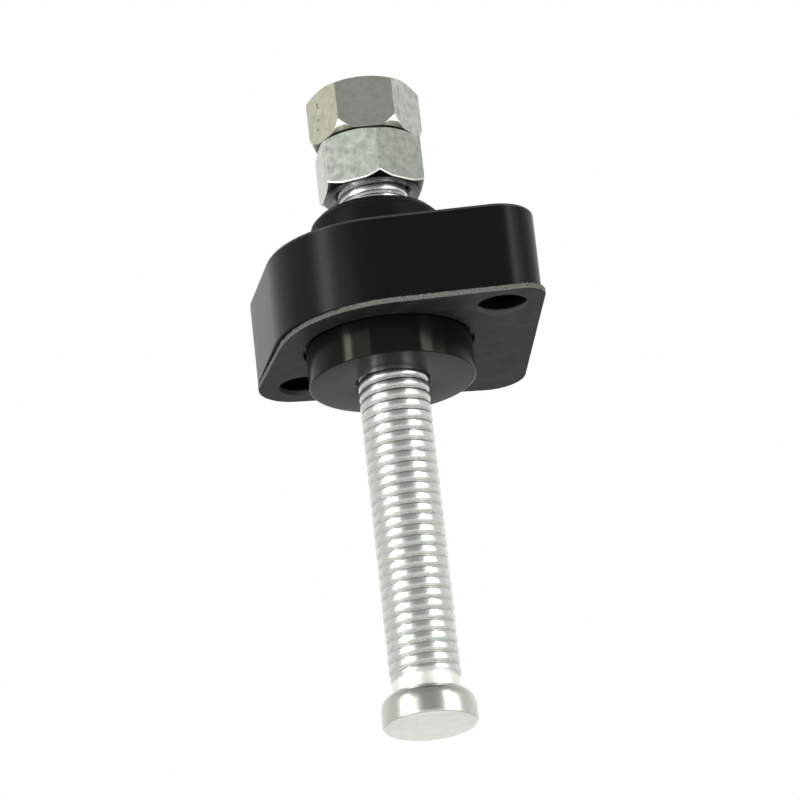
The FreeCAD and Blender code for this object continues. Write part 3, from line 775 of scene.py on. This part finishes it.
def make_nut(name, tree, materials, seat, top, facing, seat_cone):
    """A hexagon nut: flats that meet in sharp corners, a cone across them at each end, and its thread. Its
    materials are for its flats and thread, its lower edge and its seat. A paler edge material paints a
    highlight on the lock nut's lower edge, and the darker seat material paints shade on the cone and seat."""
    flats, edge, under = range(3)
    bm = bmesh.new()
    turns = [facing - 90.0 + 360.0 * i / COLUMNS for i in range(COLUMNS)]
    # The shell is the hexagon's reach in each direction.
    shell = [NUT_FLATS / 2 / math.cos(math.radians((t - facing + 90.0) % 60.0 - 30.0)) for t in turns]
    ways = [direction(t) for t in turns]
    start = round((facing - 90.0) / 360.0 * COLUMNS)
    walls = []
    ends = ((seat, 1, seat_cone, edge, under), (top, -1, NUT_TOP_CONE, flats, flats))
    for end, inwards, (ring, slope, worn, line), edge_material, end_material in ends:
        sections = [worn_end(size, ring / 2, slope, worn, line) for size in shell]
        rows = []
        for places in zip(*sections):
            row = []
            for way, (radius, rise) in zip(ways, places):
                spot = way * radius
                row.append(bm.verts.new((spot.x * MM, spot.y * MM, (end + inwards * rise) * MM)))
            rows.append(row)
        rims = loop(bm, circle(BORE + NUT_MOUTH, COLUMNS), end)
        throats = loop(bm, circle(BORE, COLUMNS), end + inwards * NUT_MOUTH)
        inner_rows = rows[1:] + [rims[start:] + rims[:start]]
        for i, (first, second) in enumerate(zip(rows, inner_rows)):
            band(bm, first, second, edge_material if i <= NUT_STEPS else end_material)
        band(bm, rims, throats, end_material)
        walls.append(rows[0])
    band(bm, *walls, flats)
    bore_thread(bm, tree, seat + NUT_MOUTH, top - NUT_MOUTH, COLUMNS, materials[flats])
    piece = finished(name, bm, materials, NUT_SHARP)
    upright = 0.01  # a flat's normal leans less than this
    for face in piece.data.polygons:
        if abs(face.normal.z) < upright and face.center.xy.length > (BORE + NUT_MOUTH) * MM:
            face.use_smooth = False
    return piece


def make_seal(material):
    """The square rubber ring in the groove, its corners a little rounded."""
    bm = bmesh.new()
    inner, outer, corner = BORE, BORE + SEAL_TOP - SEAL_LOW, 0.15
    middle = (SEAL_LOW + SEAL_TOP) / 2
    turn(bm, soften([
        (inner, middle, 0),
        (inner, SEAL_LOW, corner),
        (outer, SEAL_LOW, corner),
        (outer, SEAL_TOP, corner),
        (inner, SEAL_TOP, corner),
        (inner, middle, 0)]), COLUMNS)
    piece = finished("seal_ring", bm, [material])
    stand_for(piece, "bolt_seal", "seal")


# Each zinc finish: its dark and pale tones, the size of its patches, its least and most roughness, and
# the depth of its relief.
zinc = zinc_plate("bright zinc plate", "#cacdc9", "#dfe2dd", 0.6, (0.24, 0.34), 0.004, dull=DULL_RADIUS)
turned_zinc = zinc_plate("turned zinc plate", "#c4c5be", "#d2d3cc", 1.2, (0.24, 0.32), 0.002)
neck_zinc = zinc_plate("matt zinc plate", "#e9ebe3", "#f3f4ee", 0.5, (0.45, 0.6), 0.01)
# A paler zinc for the foot's face: a painted reflection of the floor.
face_reflection_zinc = zinc_plate("zinc plate painted floor reflection", "#e6e7e3", "#f0f1ed", 1.2, (0.25, 0.35), 0.002)
# The lock nut's flat that faces -X is painted paler: a painted highlight.
lock_zinc = zinc_plate("mottled zinc plate", "#7a8079", "#a3a79e", 0.75, (0.32, 0.46), 0.018,
                       ("#c4c7c2", "#cccfca", -4.7))
# A darker zinc for the lock nut's cone and seat: painted shade.
lock_seat_shade_zinc = zinc_plate("zinc plate painted shade", "#5c625f", "#757a77", 0.6, (0.2, 0.28), 0.004)
end_zinc = zinc_plate("yellowed zinc plate", "#a5a79f", "#cdcec8", 0.9, (0.3, 0.42), 0.012,
                      ("#b6b6a0", "#d2d2be", -2.65), END_NUT_PITS)
shaded_zinc = zinc_plate("shaded zinc plate", "#5c5c54", "#6c6c63", 0.6, (0.3, 0.4), 0.004)

# Each black finish: its dark and pale tones, its sheen, and its least and most roughness.
milled_black = black_anodised_aluminium(
    "black anodised aluminium", "#0b0b0b", "#111110", 0.13, (0.24, 0.32))
turned_black = black_anodised_aluminium(
    "turned black anodised aluminium", "#0d0d0b", "#12120f", 0.145, (0.14, 0.18), "#fffbe6", 1.0)
boss_black = black_anodised_aluminium(
    "matt black anodised aluminium", "#0f0f0e", "#161615", 0.08, (0.4, 0.5))
# A paler black for the block's broken top edge: a painted highlight.
edge_highlight_black = black_anodised_aluminium("anodised edge painted highlight", "#30302e", "#464644", 0.2, (0.2, 0.3))

cut_fibre = gasket_cut_edge("cut fibre edge", "#50504c", "#7e7e79")
# A darker copy of the cut edge for the holes' walls: painted shade.
hole_shade_fibre = gasket_cut_edge("fibre edge painted shade", "#575753", "#6a6a65")

screw_thread = thread_tree()
make_body(screw_thread, [milled_black, turned_black, edge_highlight_black, boss_black])
make_gasket(fuzz_tree(), [gasket_fibre(), cut_fibre, hole_shade_fibre])
make_bolt(screw_thread, [zinc, turned_zinc, neck_zinc, face_reflection_zinc])
# The lock nut's worn lower edge is the bolt's paler, glossier zinc, a painted highlight; its cone and seat
# are a darker zinc, painted shade.
lock_nut = make_nut("lock_nut_hexagon", screw_thread, [lock_zinc, zinc, lock_seat_shade_zinc],
                    LOCK_NUT_SEAT, LOCK_NUT_TOP, LOCK_NUT_TURN, LOCK_NUT_CONE)
stand_for(lock_nut, "lock_nut", "lock_nut")
end_nut = make_nut("end_nut_hexagon", screw_thread, [end_zinc, end_zinc, shaded_zinc],
                   END_NUT_SEAT, END_NUT_TOP, END_NUT_TURN, END_NUT_CONE)
stand_for(end_nut, "end_nut", "adjuster")
make_seal(seal_rubber())


# The camera stands below the part, on the -Y side, and is tilted a little.
CAMERA_AIM = Vector((0.56, 0.0, -6.6)) * MM
CAMERA_DISTANCE = 613.6 * MM
CAMERA_RISE = -20.71
CAMERA_TILT = -6.33
CAMERA_LENS = 245.6
CAMERA_SIGHT = 20.0  # in metres, past the far end of the floor

# Each lamp: its azimuth and rise in degrees, its distance, width and height in metres, and its radiance.
# Azimuth 0 is the camera's side, and 90 is +X.
LAMPS = {
    "softbox left": (-45.0, -4.0, 0.65, 0.5, 0.8, 1.6),
    "softbox right": (61.0, -4.0, 0.65, 0.44, 0.8, 1.5),
    "tube left": (-57.0, 4.0, 0.6, 0.1, 0.8, 8.0),
    "tube right": (52.0, 4.0, 0.6, 0.15, 0.8, 4.0),
}

WHITE = (1, 1, 1, 1)


def make_camera():
    """The photograph's camera."""
    rise, tilt = math.radians(CAMERA_RISE), math.radians(CAMERA_TILT)
    back = Vector((0.0, -math.cos(rise), math.sin(rise)))
    level = Vector((1.0, 0.0, 0.0))
    upright = back.cross(level)
    right = level * math.cos(tilt) + upright * math.sin(tilt)
    up = upright * math.cos(tilt) - level * math.sin(tilt)
    camera = bpy.data.objects.new("camera", bpy.data.cameras.new("camera"))
    camera.data.lens = CAMERA_LENS
    camera.data.clip_end = CAMERA_SIGHT
    turned = Matrix((right, up, back)).transposed().to_4x4()
    camera.matrix_world = Matrix.Translation(CAMERA_AIM + back * CAMERA_DISTANCE) @ turned
    bpy.context.scene.collection.objects.link(camera)
    bpy.context.scene.camera = camera


def softbox(name, azimuth, rise, distance, width, height, radiance):
    """A soft rectangular lamp that faces the part."""
    a, e = math.radians(azimuth), math.radians(rise)
    way = Vector((math.sin(a) * math.cos(e), -math.cos(a) * math.cos(e), math.sin(e)))
    lamp = bpy.data.lights.new(name, "AREA")
    lamp.shape = "RECTANGLE"
    lamp.size, lamp.size_y = width, height
    lamp.energy = radiance * math.pi * width * height
    holder = bpy.data.objects.new(name, lamp)
    holder.location = way * distance
    holder.rotation_euler = way.to_track_quat("Z", "Y").to_euler()
    holder.visible_camera = False
    bpy.context.scene.collection.objects.link(holder)


def make_world():
    """A white room for the camera. For light and reflections it is paler behind the part than in front of
    it, and its ceiling is dimmer than its walls."""
    front, back, ceiling = 0.38, 1.05, 0.7
    world = bpy.data.worlds.new("studio")
    world.use_nodes = True
    tree = world.node_tree
    tree.nodes.clear()
    generated = add(tree, "ShaderNodeTexCoord").outputs["Generated"]
    way = add(tree, "ShaderNodeSeparateXYZ", {0: generated}).outputs
    walls = add(tree, "ShaderNodeMapRange", {
        "Value": way["Y"], "From Min": -0.65, "From Max": 0.75, "To Min": front, "To Max": back})
    overhead = add(tree, "ShaderNodeMapRange", {
        "Value": way["Z"], "From Min": 0.45, "From Max": 0.9, "To Min": 1.0, "To Max": ceiling},
        interpolation_type="SMOOTHSTEP")
    level = add(tree, "ShaderNodeMath", {0: walls, 1: overhead}, operation="MULTIPLY")
    room = add(tree, "ShaderNodeBackground", {"Color": linear("#fcfefb"), "Strength": level})
    white = add(tree, "ShaderNodeBackground", {"Color": WHITE, "Strength": 1.0})
    seen = add(tree, "ShaderNodeLightPath").outputs["Is Camera Ray"]
    both = add(tree, "ShaderNodeMixShader", {0: seen, 1: room, 2: white})
    add(tree, "ShaderNodeOutputWorld", {"Surface": both})
    bpy.context.scene.world = world


def make_floor():
    """A plain pale floor, below the camera, that shows white and still takes a shadow."""
    reach, drop = 4.0, -0.9
    near_glow, far_glow = 0.4, 0.46
    material, tree, place = new_material("pale floor")
    paint_coat = add(tree, "ShaderNodeBsdfDiffuse", {"Color": linear("#c8c8c4")})
    path = add(tree, "ShaderNodeLightPath").outputs
    seen = add(tree, "ShaderNodeMath", {0: path["Is Camera Ray"], 1: path["Is Glossy Ray"]},
               operation="MAXIMUM")
    depth = add(tree, "ShaderNodeSeparateXYZ", {0: place}).outputs["Y"]
    level = add(tree, "ShaderNodeMapRange", {
        "Value": depth, "From Min": -0.6, "From Max": 1.6, "To Min": near_glow, "To Max": far_glow})
    lift = add(tree, "ShaderNodeMath", {0: seen, 1: level}, operation="MULTIPLY")
    glow = add(tree, "ShaderNodeEmission", {"Color": WHITE, "Strength": lift})
    both = add(tree, "ShaderNodeAddShader", {0: paint_coat, 1: glow})
    add(tree, "ShaderNodeOutputMaterial", {"Surface": both})
    corners = [(x * reach, y * reach, drop) for x, y in ((-1, -1), (1, -1), (1, 1), (-1, 1))]
    mesh = bpy.data.meshes.new("floor")
    mesh.from_pydata(corners, [], [(0, 1, 2, 3)])
    mesh.materials.append(material)
    floor = bpy.data.objects.new("floor", mesh)
    bpy.context.scene.collection.objects.link(floor)


make_camera()
for lamp_name, settings in LAMPS.items():
    softbox(lamp_name, *settings)
make_world()
make_floor()
bpy.context.scene.view_settings.view_transform = "Standard"
